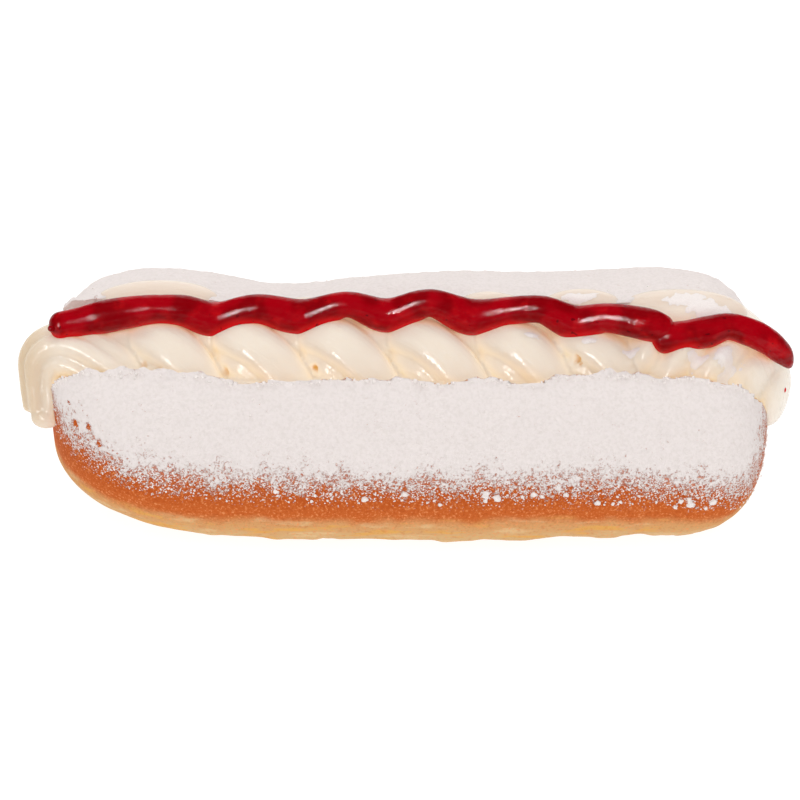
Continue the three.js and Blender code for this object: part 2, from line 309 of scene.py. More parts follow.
# the cut along its top
cutShape = {
    "front": 16,  # how far a face leans out between the floor and the lip
    "back": 4.8,
    "lip": 41,
    "floor": 12,
    "floorRadius": 2.5,
    "floorHalf": 1.5,
    "floorCorner": (0.5, 0.3),  # shares of the half width and the radius at which the floor bends
    "turn": -1.2,  # degrees by which the cut lies askew
    "over": 30,  # how far the wedge that cuts stands above the lip
    "overhang": 10,  # and how far it runs past each end
    # x, how far the torn front lip lies in front of the straight cut
    "stray": [
        (-95, 0.2),
        (-79.4, 0.2),
        (-70, -0.6),
        (-58.7, -0.7),
        (-47, 0.1),
        (-35.7, 1.7),
        (-24.3, 1),
        (-12.8, 1),
        (-1.3, 0.1),
        (10.2, 0.6),
        (19.4, -0.6),
        (26.3, 1.2),
        (35.5, -1.4),
        (44.7, -2.2),
        (53.9, -1.7),
        (63, -1.5),
        (72.3, -1),
        (77, -0.2),
        (81.5, 0.5),
        (95, 0.5),
    ],
    "tears": [(4.5, 0.5, 51), (1.8, 0.3, 52)],  # size, depth, seed
    "stations": 380,
    # a point is on a face of the cut if it lies this near, turns out less than this and is below these
    "wallGap": 0.1,
    "wallFacing": 0.35,
    "wallTop": (42, 39.5),
}


def cutReach(z, side, shrink=0):
    # how far the cut's front or back face stands from its middle at a height
    cut = cutShape
    slope = cut[side] / (cut["lip"] - cut["floor"])
    topHeight = cut["lip"] + cut["over"]
    top = slope * (topHeight - cut["floor"]) - shrink
    foot = cut["floorHalf"] - shrink + slope * cut["floorRadius"]
    footHeight = cut["floor"] + shrink + cut["floorRadius"]
    return foot + (z - footHeight) * (top - foot) / (topHeight - footHeight)


def lipStray(x):
    points = np.stack([x, np.zeros_like(x), np.zeros_like(x)], axis=1)
    return layeredNoise(points, cutShape["tears"], splineThrough(cutShape["stray"], x)[:, 0])


def turnedWithCut(grid):
    x, y = turned(grid[..., 0], grid[..., 1], cutShape["turn"])
    return np.stack([x, y, grid[..., 2]], axis=2)


def cutWedge():
    cut = cutShape
    top, floor, radius = cut["lip"] + cut["over"], cut["floor"], cut["floorRadius"]
    low = floor + radius
    front, back = cutReach(low, "front"), cutReach(low, "back")
    inward, upward = cut["floorCorner"]
    bend = floor + radius * upward
    section = [(cutReach(top, "back"), top), (-cutReach(top, "front"), top), (-front, low)]
    section += [(-front * inward, bend), (0, floor), (back * inward, bend), (back, low)]
    section = np.array(section)
    left, right = rollShape["left"] - cut["overhang"], rollShape["right"] + cut["overhang"]
    x = np.linspace(left, right, cut["stations"])
    stray = np.zeros((len(x), len(section)))
    stray[:, 1:3] = lipStray(x)[:, None]  # only the front face is torn
    across = section[:, 0] - stray
    along = np.broadcast_to(x[:, None], across.shape)
    heights = np.broadcast_to(section[:, 1], across.shape)
    rows = np.stack([along, across, heights], axis=2)
    ends = [np.tile([at, 0, (top + floor) / 2], (1, len(section), 1)) for at in (x[0], x[-1])]
    return tubeObject(turnedWithCut(np.concatenate([ends[0], rows, ends[1]])), "cut_wedge")


def cutGap(points):
    # how far points lie outside the cut's nearer face, and which face that is
    x, y = turned(points[:, 0], points[:, 1], -cutShape["turn"])
    front = cutReach(points[:, 2], "front") + lipStray(x)
    return np.abs(y) - np.where(y < 0, front, cutReach(points[:, 2], "back")), np.sign(y)


def wallShare(points, normals):
    # 1 on the two faces of the cut, 0 on the crust
    gap, side = cutGap(points)
    isFace = (np.abs(gap) < cutShape["wallGap"]) * (normals[:, 1] * side < cutShape["wallFacing"])
    return isFace * smoothStep(*cutShape["wallTop"], points[:, 2])


# uneven crust, with lumps given by size, height and seed
crustRelief = {
    "lumps": [(16, 0.35, 1)],
    "lumpHeights": (1, 6),
    "footHeights": (12, 2),
    "footFacing": [(-0.2, -0.6), (-0.99, -0.9)],  # the uneven foot faces down, but not flat down
    "footLumps": [(9, 0.8, 6), (3, 0.5, 7)],
    "sharpAngle": 50,
}
# icing sugar on the crust
sugarReach = {
    # x, height where the last grains lie, height above which it is white all over
    "edge": [
        (-84, 26, 41),
        (-78, 23.5, 34),
        (-74, 22.5, 33.5),
        (-68, 21.8, 31),
        (-55.5, 20.2, 28.7),
        (-42, 19.8, 28),
        (-20, 19.3, 27.7),
        (30, 18.7, 27.2),
        (50, 18.4, 27),
        (60, 17.3, 26),
        (66, 16.3, 25.5),
        (75.3, 13.5, 23.5),
        (77.5, 11.5, 23),
        (80, 8, 27),
        (85, 6, 44),
    ],
    "coverLimits": (-0.5, 1.5),
    # x, y, z and radius of bare spots among the sugar
    "bare": [
        (-76.4, -19.6, 36.1, 0.5),
        (-74.8, -22.7, 32.8, 0.8),
        (-71.7, -24.7, 33.9, 0.6),
        (-69.2, -27.5, 31, 0.6),
        (-71.8, 7.7, 44.5, 0.7),
    ],
    "bareDepth": 1.4,
    "dusted": (0.35, 1),
    "thick": 0.3,
    "lumps": [(2.4, 0.7, 2), (0.9, 0.4, 3)],
    # the heap along the lip of the cut
    "lipReach": 2.2,
    "lipHeights": (30, 36),
    "lipHeap": 2.6,
    "lipLevel": 0.6,
    "lipLumps": [(1.6, 1, 4)],
}


def crustLumps(points, normals, isWall):
    relief, heights = crustRelief, points[:, 2]
    lumps = layeredNoise(points, relief["lumps"]) * (1 - isWall)
    lumps *= smoothStep(*relief["lumpHeights"], heights)
    foot = smoothStep(*relief["footHeights"], heights)
    for limits in relief["footFacing"]:
        foot = foot * smoothStep(*limits, normals[:, 2])
    return lumps + foot * layeredNoise(points, relief["footLumps"])


def sugarCover(points, isWall):
    # 0 at the last grains, 1 where the crust is white all over
    edge = splineThrough(sugarReach["edge"], points[:, 0])
    cover = (points[:, 2] - edge[:, 0]) / (edge[:, 1] - edge[:, 0])
    cover = np.clip(cover, *sugarReach["coverLimits"]) * (1 - isWall) - isWall
    for *place, radius in sugarReach["bare"]:
        away = np.linalg.norm(points - np.array(place), axis=1)
        cover = cover - sugarReach["bareDepth"] * hill(away, 0, radius)
    return cover


def sugarHeight(points, cover):
    # how far the sugar stands above the crust
    reach = sugarReach
    gap, _ = cutGap(points)
    atLip = smoothStep(reach["lipReach"], 0, np.abs(gap)) * smoothStep(*reach["lipHeights"], points[:, 2])
    relief = layeredNoise(points, reach["lumps"], 1)
    relief += atLip * reach["lipHeap"] * layeredNoise(points, reach["lipLumps"], reach["lipLevel"])
    return smoothStep(*reach["dusted"], cover) * reach["thick"] * relief


def dressRoll(roll):
    mesh = roll.data
    points, normals = readPoints(mesh), readNormals(mesh)
    isWall = wallShare(points, normals)
    cover = sugarCover(points, isWall)
    lift = crustLumps(points, normals, isWall) + sugarHeight(points, cover)
    points = points + normals * lift[:, None]
    points[:, 2] = np.maximum(points[:, 2], 0)
    writePoints(mesh, points)
    setMark(mesh, "cover", cover)
    setMark(mesh, "wall", isWall)
    mesh.shade_smooth()
    mesh.set_sharp_from_angle(angle=math.radians(crustRelief["sharpAngle"]))


bun = joined(rollBody(), cutWedge(), "DIFFERENCE")
dressRoll(bun)
print("stage: bun has", len(bun.data.polygons), "faces")

# the mass of cream under the loops, behind the jam and at the ribbed right end
coreShape = {
    "left": -85,
    "right": 90.3,
    "height": 28,
    "drop": 16,
    "power": 2.6,  # 2 makes the upper half round, more makes it squarer
    "endLeft": 14,
    "endRight": 20,
    # side, half width and rise of the three stretches
    "leftMass": (1, 12.5, 14),
    "underLoops": (5.5, 11, 14.6),
    "ribbedEnd": (1.5, 17.5, 17.3),
    # where one stretch turns into the next
    "toLoops": (-74, -56),
    "toRibs": (46, 56),
    "droop": (64, 90, 4.3),  # where the right end starts and ends to sink, and how far
    "ribPitch": 9,
    "ribDepth": 3.2,
    "ribLean": 10,
    "ribSide": (0.1, -0.5),  # ribs fade in from the top to the front
    "around": 120,
    "along": 300,
}


def coreBody():
    shape = coreShape
    left, right = shape["left"], shape["right"]
    stations = packedAtEnds(left, right, shape["along"])
    x, angle = np.meshgrid(stations, fullTurn(shape["around"]), indexing="ij")
    sine, cosine = np.sin(angle), np.cos(angle)
    size = endRound(x - left, shape["endLeft"], 2) * endRound(right - x, shape["endRight"], 2)
    toLoops, toRibs = smoothStep(*shape["toLoops"], x), smoothStep(*shape["toRibs"], x)
    leaning = x - shape["ribLean"] * np.minimum(cosine, 0)
    rib = np.abs(np.sin(math.pi * (leaning - shape["toRibs"][0]) / shape["ribPitch"])) - 1
    rib = rib * shape["ribDepth"] * toRibs * smoothStep(*shape["ribSide"], cosine)

    def blend(key):
        mass, loops, ribbed = (shape[name][key] for name in ("leftMass", "underLoops", "ribbedEnd"))
        under = mass + (loops - mass) * toLoops
        return under + (ribbed - under) * toRibs

    side, halfWidth, rise = (blend(key) for key in range(3))
    sinkStart, sinkEnd, sink = shape["droop"]
    axis = shape["height"] - sink * smoothStep(sinkStart, sinkEnd, x)
    isUpper = sine >= 0
    reach = np.where(isUpper, rise, shape["drop"]) + rib
    curve = np.where(isUpper, 2 / shape["power"], 1)
    y = side + (halfWidth + rib) * size * signedPower(cosine, curve)
    z = axis + reach * size * signedPower(sine, curve)
    return np.stack([x, y, z], axis=2)


# the fluted strand that is laid in loops along the front and hangs over the left end
strandShape = {
    "plane": (-13.7, 24.9),  # y and z of the line the loops' planes stand on
    "tilt": 50,  # degrees by which the loops lie back on the cream
    "lap": 12,  # degrees by which the right side of a loop stands out over the next one
    "ribSamples": 16,
    "bulgePower": 0.75,
    "taper": 0.12,  # share of a strand's length over which its first end rounds off
    "seamAt": 30,
    "seamWidth": 3,
    "seamDepth": 0.18,
}
frontLoops = {
    "starts": [-52.5, -32.1, -12.1, 8.4, 28.6, 45.9],
    # across, up, out and radius at stations from the low right end to the hidden left end
    "path": [
        (9.4, 0.2, 0, 6.2),
        (6.4, 4.5, 0, 6.9),
        (3.3, 8.9, 0, 7.6),
        (-0.3, 13.1, -0.1, 8.1),
        (-4.8, 16.3, -0.8, 8.3),
        (-10, 18, -3, 8.0),
        (-15.5, 18.6, -6.5, 7.0),
    ],
    # where each rib starts round the strand, how deep its groove is and how far the rib stands out of it
    "ribs": [
        (-100, 1, 0.8),
        (-72, 1.4, 1.8),
        (-18, 1.7, 0.95),
        (20, 0.05, 0.4),
        (104, 0.8, 0.8),
    ],
    "tailTaper": 0.12,
    "along": 100,
}
endLoop = {
    "start": -71.8,
    "path": [
        (10.3, 4, 0, 6.2),
        (6.6, 8.7, 0, 6.9),
        (1.8, 12.5, 0, 7.6),
        (-3.3, 15.3, 0, 7.6),
        (-7.8, 15.9, 0, 7.4),
        (-10.8, 13.6, 0, 6.9),
        (-11.6, 9, 0, 6.2),
        (-11.6, 4.6, 0, 5.6),
        (-11.7, 1.6, 0, 5),
    ],
    "ribs": [
        (-100, 1, 0.8),
        (-62, 2.2, 1.7),
        (-6, 2.3, 1.7),
        (48, 1.6, 1.3),
        (104, 0.8, 0.8),
    ],
    "tailTaper": 0.06,
    "along": 130,
}


def strandProfile(ribs):
    # angles round a strand, and how far its surface lies below its radius there
    shape = strandShape
    share = (1 - np.cos(math.pi * np.arange(shape["ribSamples"]) / shape["ribSamples"])) / 2
    bulging = np.sin(math.pi * share) ** shape["bulgePower"]
    firstStart, firstDepth, _ = ribs[0]
    nextRibs = [*ribs[1:], (firstStart + 360, firstDepth, 0)]
    angles, depths = [], []
    for (start, depth, bulge), (end, endDepth, _) in zip(ribs, nextRibs):
        angles.append(start + (end - start) * share)
        depths.append(depth + (endDepth - depth) * share - bulge * bulging)
    angles, depths = np.concatenate(angles), np.concatenate(depths)
    seam = hill(angles, shape["seamAt"], shape["seamWidth"])
    return np.radians(angles), depths + shape["seamDepth"] * seam


def curveThrough(stations, count):
    # smooth curve through the stations, with as many points between each two
    rows = np.array(stations, float)
    rows = np.concatenate([[2 * rows[0] - rows[1]], rows, [2 * rows[-1] - rows[-2]]])
    at = np.linspace(0, len(stations) - 1, count)
    index = np.minimum(at.astype(int), len(stations) - 2)
    share = (at - index)[:, None]
    before, first, last, after = (rows[index + k] for k in range(4))
    return 0.5 * (
        2 * first
        + (last - before) * share
        + (2 * before - 5 * first + 4 * last - after) * share**2
        + (3 * first - before - 3 * last + after) * share**3
    )


def strandGrid(strand, x):
    shape = strandShape
    angles, depths = strandProfile(strand["ribs"])
    curve = curveThrough(strand["path"], strand["along"])
    places, out, thickness = curve[:, :2], curve[:, 2:3], curve[:, 3:]
    headings = np.gradient(places, axis=0)
    headings /= np.linalg.norm(headings, axis=1)[:, None]
    tilt, lap = math.radians(shape["tilt"]), math.radians(shape["lap"])
    facing = np.array([0, -math.sin(tilt), math.cos(tilt)])
    across = np.array([math.cos(lap), 0, 0]) + facing * math.sin(lap)
    upward = np.array([0, math.cos(tilt), math.sin(tilt)])
    normal = np.cross(across, upward)
    normal /= np.linalg.norm(normal)
    share = np.linspace(0, 1, strand["along"])
    taper = endRound(share, shape["taper"], 2) * endRound(1 - share, strand["tailTaper"], 2)
    size = thickness / max(row[3] for row in strand["path"])
    radius = (thickness - depths[None, :] * size) * taper[:, None]
    outward = radius * np.sin(angles)
    alongAcross = places[:, :1] + headings[:, 1:] * outward
    alongUpward = places[:, 1:] - headings[:, :1] * outward
    return np.array([x, *shape["plane"]]) + (
        alongAcross[..., None] * across
        + alongUpward[..., None] * upward
        + (out + radius * np.cos(angles))[..., None] * normal
    )


creamSmears = {
    # middle and reach of each swell of cream that leans on the back half
    "places": [
        ((-57.5, 8, 42.6), (14.8, 6.6, 4)),
        ((19.5, 6, 42.5), (9, 4.6, 3.4)),
        ((41, 6, 42.6), (10, 5, 4.2)),
        ((63, 4.5, 42.4), (16, 7, 4.4)),
    ],
    "tail": ((-82.8, -12.6, 25.6), (3.6, 3, 2.7)),  # the last fold at the left end
}
# the cream down in the cut
fillingShape = {
    "top": 37,
    "floor": 34,
    "hollow": [-15, -9, 0, 2.5],  # where the shallow hollow in its top starts, reaches its floor and ends
    "play": 0.5,  # room left between the filling and the faces of the cut
    "footRise": 3,
    "inset": 7,
    "round": 9,
    "power": 2.4,
    "middle": (0, 26),  # y and z that its sections shrink to at the ends
    "spacing": 1.2,
    "along": 160,
}


def fillingBody():
    shape = fillingShape
    left, right = rollShape["left"] + shape["inset"], rollShape["right"] - shape["inset"]
    top, floor, play, hollow = shape["top"], shape["floor"], shape["play"], shape["hollow"]
    foot = cutShape["floor"] + play
    low = foot + shape["footRise"]
    corners = [(cutReach(top, "back", play), top), (hollow[3], top), (hollow[2], floor)]
    corners += [(hollow[1], floor), (hollow[0], top), (-cutReach(top, "front", play), top)]
    corners += [(-cutReach(low, "front", play), low), (0, foot), (cutReach(low, "back", play), low)]
    outline = []
    for corner, after in zip(corners, corners[1:] + corners[:1]):
        steps = max(int(math.dist(corner, after) / shape["spacing"]), 1)
        for k in range(steps):
            outline.append([corner[n] + (after[n] - corner[n]) * k / steps for n in range(2)])
    stations = packedAtEnds(left, right, shape["along"])
    size = endRound(np.minimum(stations - left, right - stations), shape["round"], shape["power"])
    middle = np.array(shape["middle"])
    section = middle + (np.array(outline) - middle) * size[:, None, None]
    x = np.broadcast_to(stations[:, None], section.shape[:2])
    return turnedWithCut(np.concatenate([x[..., None], section], axis=2))


softShape = {
    "grain": 0.56,  # size of the cells the joined strands are melted into
    "passes": 2,
    "factor": 0.5,
    # x, y, z, radius, depth and darkness of the painted shade of small holes left between the strands
    "holes": [
        (-60, -8.6, 37.9, 1.1, 0.7, 0.35),
        (-41.1, -8.7, 35.8, 1, 0.7, 0.35),
        (-20.9, -8.5, 36.8, 0.9, 1, 1),
        (39.3, -8.2, 39.5, 0.8, 1.1, 0.8),
        (40.2, -8.9, 38.5, 0.5, 0.6, 0.8),
    ],
    "holeEdge": (0.15, 0.75),
    "holeStray": (1.4, 0.5),  # size and depth of the unevenness of their rims
    "holeSeeds": (61, 62, 63),
}


def softened(piece):
    melt = piece.modifiers.new("melt", "REMESH")
    melt.mode = "VOXEL"
    melt.voxel_size = softShape["grain"] * millimetre
    soften = piece.modifiers.new("soften", "SMOOTH")
    soften.factor, soften.iterations = softShape["factor"], softShape["passes"]
    keepModified(piece)
    piece.data.shade_smooth()


def streakRows(grid):
    # every point of a strand with its way round and its way along
    around = np.linalg.norm(grid - np.roll(grid, 1, axis=1), axis=2).cumsum(axis=1)
    steps = np.linalg.norm(np.diff(grid.mean(axis=1), axis=0), axis=1)
    along = np.broadcast_to(np.concatenate([[0], steps.cumsum()])[:, None], around.shape)
    return np.concatenate([grid, around[..., None], along[..., None]], axis=2).reshape(-1, 5)


def markStreaks(piece, rows):
    tree = KDTree(len(rows))
    for i, place in enumerate(rows[:, :3]):
        tree.insert(place, i)
    tree.balance()
    nearest = [tree.find(point)[1] for point in readPoints(piece.data)]
    setMark(piece.data, "around", rows[nearest, 3])
    setMark(piece.data, "along", rows[nearest, 4])


def pressHoles(piece):
    points, normals = readPoints(piece.data), readNormals(piece.data)
    mark = np.zeros(len(points))
    size, stray = softShape["holeStray"]
    shifts = [latticeNoise(points, size, seed) for seed in softShape["holeSeeds"]]
    strayed = points + stray * np.stack(shifts, axis=1)
    for *place, radius, depth, darkness in softShape["holes"]:
        pit = hill(np.linalg.norm(strayed - np.array(place), axis=1), 0, radius)
        points = points - normals * (pit * depth)[:, None]
        # the mark carries the painted shade in each hole
        mark = np.maximum(mark, smoothStep(*softShape["holeEdge"], pit) * darkness)
    writePoints(piece.data, points)
    setMark(piece.data, "paintedHoleShade", mark)


creamLumps = {
    # size, height and seed of the unevenness of each kind of tube
    "core": [(9, 0.35, 11), (3, 0.1, 12)],
    "filling": [(4, 0.25, 13)],
    "smear": [(6, 0.25, 14)],
    "tail": [(3, 0.2, 19)],
    "frontLoop": [(10, 0.45, 20), (4, 0.15, 40)],
    "endLoop": [(10, 0.4, 30), (4, 0.12, 31)],
}


def pipedCream():
    lumps, core = creamLumps, coreBody()
    tubes = [roughened(core, lumps["core"]), roughened(fillingBody(), lumps["filling"])]
    for i, smear in enumerate(creamSmears["places"]):
        tubes.append(roughened(eggGrid(*smear), lumps["smear"], i))
    tubes.append(roughened(eggGrid(*creamSmears["tail"]), lumps["tail"]))
    strands = []
    for i, x in enumerate(frontLoops["starts"]):
        strands.append(roughened(strandGrid(frontLoops, x), lumps["frontLoop"], i))
    strands.append(roughened(strandGrid(endLoop, endLoop["start"]), lumps["endLoop"]))
    whole, *others = [tubeObject(grid, "cream_piping") for grid in tubes + strands]
    for piece in others:
        joined(whole, piece)
    softened(whole)
    markStreaks(whole, np.concatenate([streakRows(grid) for grid in [core, *strands]]))
    pressHoles(whole)
    return whole


cream = pipedCream()
print("stage: cream has", len(cream.data.polygons), "faces")

# the line of jam, laid in two runs
jamShape = {
    # x, y, height of the middle, radius
    "line": [
        (-81.6, -3, 44.5, 3),
        (-79, -2.2, 44.6, 3.1),
        (-75, -1.4, 45, 3.1),
        (-70, -0.4, 45.6, 3.5),
        (-63, 0.7, 46.3, 3.4),
        (-57, 0.9, 46.9, 3.2),
        (-50.8, 1.1, 46.3, 3.4),
        (-44.3, 1.3, 43.6, 3.8),
        (-34.3, 1.6, 46.4, 3.3),
        (-23.4, 1.9, 43.8, 3.9),
        (-13.6, 1.8, 47.5, 2.8),
        (-4, 1.6, 44.7, 3.7),
        (5.6, 1.4, 48.5, 3.0),
        (15.3, 1.1, 44.5, 3.9),
        (23.5, 0.5, 46.7, 3.1),
        (31, -0.4, 48.1, 3.0),
        (39.3, -1.4, 44.9, 3.7),
        (45.3, -2.4, 47.2, 3.2),
        (51, -3.7, 47.4, 3.4),
        (56, -4.8, 47, 3.5),
        (61, -5.8, 45, 2.8),
    ],
    "secondLine": [
        (56, -5.6, 43.4, 3),
        (60, -6.1, 44.4, 3.3),
        (64.5, -5.7, 44.8, 3.2),
        (69, -4.9, 45.2, 3.4),
        (73.5, -4.1, 46, 2.9),
        (78, -4.4, 44.9, 3),
        (82, -4.7, 42.9, 2.9),
        (85, -4.9, 40.3, 2.6),
        (87.4, -5.1, 37, 2.2),
        (88.7, -5.2, 34.2, 1.7),
    ],
    # middle and reach of small drops beside the line
    "drops": [((-80.9, -4.6, 45.6), (0.8, 0.8, 0.8)), ((87.7, -6, 28), (0.5, 0.5, 0.8))],
    "tip": 2.5,
    "tipRings": 10,
    "lower": 1.25,  # the lower half of a section is taller by this
    "lumps": [(5, 0.12, 41)],
    "around": 64,
    "spacing": 0.25,
    "thinGap": (2.6, 0.2),  # distances from the cream between which the jam turns into a thin skin
}


def jamLine(stations):
    shape = jamShape
    tip, start, end = shape["tip"], stations[0][0], stations[-1][0]
    reach = (end - start) / 2
    inner = np.linspace(-reach, reach, int(2 * reach / shape["spacing"]))
    inner = inner[np.abs(inner) < reach - tip]
    tipTurn = np.linspace(0, math.pi / 2, shape["tipRings"])[:-1]
    capped = reach - tip + tip * np.cos(tipTurn)
    x = (start + end) / 2 + np.concatenate([-capped, inner, capped[::-1]])
    line = splineThrough(stations, x)
    centre = np.stack([x, line[:, 0], line[:, 1]], axis=1)
    heading = np.gradient(centre, axis=0)
    heading /= np.linalg.norm(heading, axis=1)[:, None]
    side = np.cross(np.array([0, 0, 1.0]), heading)
    side /= np.linalg.norm(side, axis=1)[:, None]
    up = np.cross(heading, side)
    radius = line[:, 2] * endRound(np.minimum(x - start, end - x), tip, 2)
    turn = fullTurn(shape["around"])
    sine, cosine = np.sin(turn), np.cos(turn)
    tall = np.where(sine < 0, shape["lower"], 1)
    grid = centre[:, None] + radius[:, None, None] * (
        cosine[None, :, None] * side[:, None] + (sine * tall)[None, :, None] * up[:, None]
    )
    return tubeObject(roughened(grid, shape["lumps"]), "jam_line")


def markThin(piece, under):
    # 1 where the jam is only a skin over the cream
    mesh = under.data
    tree = BVHTree.FromPolygons([v.co for v in mesh.vertices], [p.vertices[:] for p in mesh.polygons])
    points = readPoints(piece.data)
    gaps = np.array([tree.find_nearest(Vector(p * millimetre))[3] for p in points]) / millimetre
    setMark(piece.data, "thin", smoothStep(*jamShape["thinGap"], gaps))


jam = joined(jamLine(jamShape["line"]), jamLine(jamShape["secondLine"]))
for middle, reach in jamShape["drops"]:
    joined(jam, tubeObject(eggGrid(middle, reach), "jam_drop"))
jam.data.shade_smooth()
markThin(jam, cream)
print("stage: jam has", len(jam.data.polygons), "faces")

# loose lumps of sugar on the bun
sugarLumps = {
    "seed": 5,
    # number and size of each kind of lump, and the cover of sugar on which it lies
    "lip": {"count": 300, "size": (0.14, 0.5), "cover": (0.5, 2)},
    "fade": {"count": 1500, "size": (0.1, 0.3), "cover": (0, 0.6)},
    "clumps": {"count": 44, "size": (0.3, 0.95), "cover": (0.05, 0.4)},
    "crumbs": {"count": 300, "size": (0.1, 0.28), "cover": (0.9, 2)},
    "lipHeight": 36,
    "lipEdge": (0.4, 1.4),  # distance from the edge of the cut
    "clumpReach": (-30, 76),
    "sizePower": 2.5,  # the higher, the more of them are small
    "scatter": 0.15,
    "uneven": 0.22,
    "unevenMost": 2,
    "stretch": (0.7, 1.2),
    "flatness": (1, 1, 0.8),
}
# thin patches of sugar on the cream
sugarSkin = {
    # x, y, reach along x, reach along y
    "patches": [
        (28.6, -4.8, 1.2, 0.5),
        (41.8, -6.2, 1.6, 0.6),
        (51.4, -8.2, 1.6, 0.7),
        (66.8, -9.6, 2, 0.9),
        (73, -9.4, 2.4, 1.8),
        (72.4, -13, 1.2, 1.6),
        (69.5, 1.5, 4.5, 2.4),
        (64, 4, 4, 2),
        (40, 5.4, 3, 1.4),
    ],
    "lowest": 32,
    "fade": 1.6,
    "least": 0.02,
    "stray": [(2.2, 0.3, 71), (0.8, 0.3, 72)],  # size, weight and seed of the unevenness of its edge
    "edge": 0.42,
    "thick": 0.45,
}


def ballMesh():
    # an icosahedron cut once, as points on the unit sphere and triangles
    golden = (1 + math.sqrt(5)) / 2
    points = []
    for a in (-1, 1):
        for b in (-golden, golden):
            points += [(0, a, b), (a, b, 0), (b, 0, a)]
    points = [Vector(p).normalized() for p in points]
    near = 1.1  # a little more than an edge
    triangles = []
    for i, j, k in itertools.combinations(range(len(points)), 3):
        first, second, third = points[i], points[j], points[k]
        sides = first - second, second - third, third - first
        if max(side.length for side in sides) < near:
            isOutward = (second - first).cross(third - first).dot(first) > 0
            triangles.append((i, j, k) if isOutward else (i, k, j))
    middles, split = {}, []

    def middle(i, j):
        key = min(i, j), max(i, j)
        if key not in middles:
            middles[key] = len(points)
            points.append((points[i] + points[j]).normalized())
        return middles[key]

    for i, j, k in triangles:
        ij, jk, ki = middle(i, j), middle(j, k), middle(k, i)
        split += [(i, ij, ki), (j, jk, ij), (k, ki, jk), (ij, jk, ki)]
    return np.array([tuple(p) for p in points]), np.array(split)


class Sprinkle:
    # many small lumps gathered into one mesh
    def __init__(self, seed):
        self.draw = np.random.default_rng(seed)
        self.ball, self.faces = ballMesh()
        self.shape = Shape()

    def add(self, place, normal, size):
        lumps, most = sugarLumps, sugarLumps["unevenMost"]
        normal = normal / (np.linalg.norm(normal) + tiny)
        side = np.cross(normal, self.draw.normal(size=3))
        side /= np.linalg.norm(side) + tiny
        axes = np.stack([side, np.cross(normal, side), normal])
        uneven = self.draw.normal(size=(len(self.ball), 1)).clip(-most, most)
        lumpy = self.ball * (1 + lumps["uneven"] * uneven)
        lumpy = lumpy * (size * self.draw.uniform(*lumps["stretch"], 3) * np.array(lumps["flatness"]))
        self.shape.triangles.append(self.faces + self.shape.count)
        self.shape.addPoints(place + lumpy @ axes)

    def addFrom(self, points, normals, chosen, kind):
        low, high = kind["size"]
        for i in self.draw.choice(np.flatnonzero(chosen), kind["count"]):
            size = low + (high - low) * self.draw.random() ** sugarLumps["sizePower"]
            place = points[i] + self.draw.normal(size=3) * sugarLumps["scatter"]
            self.add(place, normals[i], size)


def skinDepth(points):
    # how far the sugar on the cream stands above it, below nought where there is none
    depth = np.zeros(len(points))
    for x, y, reachX, reachY in sugarSkin["patches"]:
        away = ((points[:, 0] - x) / reachX) ** 2 + ((points[:, 1] - y) / reachY) ** 2
        patch = np.exp(-away / sugarSkin["fade"]) * (points[:, 2] > sugarSkin["lowest"])
        depth = np.maximum(depth, patch)
    isNear = depth > sugarSkin["least"]
    depth = np.where(isNear, layeredNoise(points, sugarSkin["stray"], depth), depth)
    return (depth - sugarSkin["edge"]) * sugarSkin["thick"]


def addSkin(shape):
    points, normals = readPoints(cream.data), readNormals(cream.data)
    depth = skinDepth(points)
    corners = np.zeros(len(cream.data.loops), np.int32)
    cream.data.loops.foreach_get("vertex_index", corners)
    quads = corners.reshape(-1, 4)
    quads = quads[depth[quads].max(axis=1) > 0]
    used, flat = np.unique(quads, return_inverse=True)
    shape.quads.append(flat.reshape(-1, 4) + shape.count)
    shape.addPoints(points[used] + normals[used] * depth[used, None])


def sprinkleSugar():
    sprinkle = Sprinkle(sugarLumps["seed"])
    mesh = bun.data
    points, normals = readPoints(mesh), readNormals(mesh)
    cover = np.zeros(len(points), np.float32)
    mesh.attributes["cover"].data.foreach_get("value", cover)
    gap, _ = cutGap(points)
    isHigh = points[:, 2] > sugarLumps["lipHeight"]
    isFront = points[:, 1] < 0
    places = {
        "lip": isHigh & isFront & within(gap, sugarLumps["lipEdge"]),
        "fade": ~isHigh,
        "clumps": isFront & within(points[:, 0], sugarLumps["clumpReach"]),
        "crumbs": True,
    }
    for name, isPlace in places.items():
        kind = sugarLumps[name]
        sprinkle.addFrom(points, normals, isPlace & within(cover, kind["cover"]), kind)
    addSkin(sprinkle.shape)
    return sprinkle.shape.makeObject("sugar_lumps")


sugar = sprinkleSugar()
print("stage: sugar has", len(sugar.data.polygons), "faces")


def tone(red, green, blue):
    # screen values from 0 to 255 as a linear colour
    def linear(value):
        value /= 255
        return value / 12.92 if value <= 0.04045 else ((value + 0.055) / 1.055) ** 2.4

    return (linear(red), linear(green), linear(blue), 1.0)


class Wire:
    # a socket that can stand in a sum
    def __init__(self, tree, socket):
        self.tree = tree
        self.socket = socket

    def math(self, operation, first, second):
        node = self.tree.nodes.new("ShaderNodeMath")
        node.operation = operation
        for place, value in enumerate((first, second)):
            feed(self.tree, value, node.inputs[place])
        return Wire(self.tree, node.outputs[0])

    def most(self, other):
        return self.math("MAXIMUM", self, other)

    def __add__(self, other):
        return self.math("ADD", self, other)

    def __radd__(self, other):
        return self.math("ADD", other, self)

    def __sub__(self, other):
        return self.math("SUBTRACT", self, other)

    def __rsub__(self, other):
        return self.math("SUBTRACT", other, self)

    def __mul__(self, other):
        return self.math("MULTIPLY", self, other)

    def __rmul__(self, other):
        return self.math("MULTIPLY", other, self)

    def __truediv__(self, other):
        return self.math("DIVIDE", self, other)

    def __rtruediv__(self, other):
        return self.math("DIVIDE", other, self)


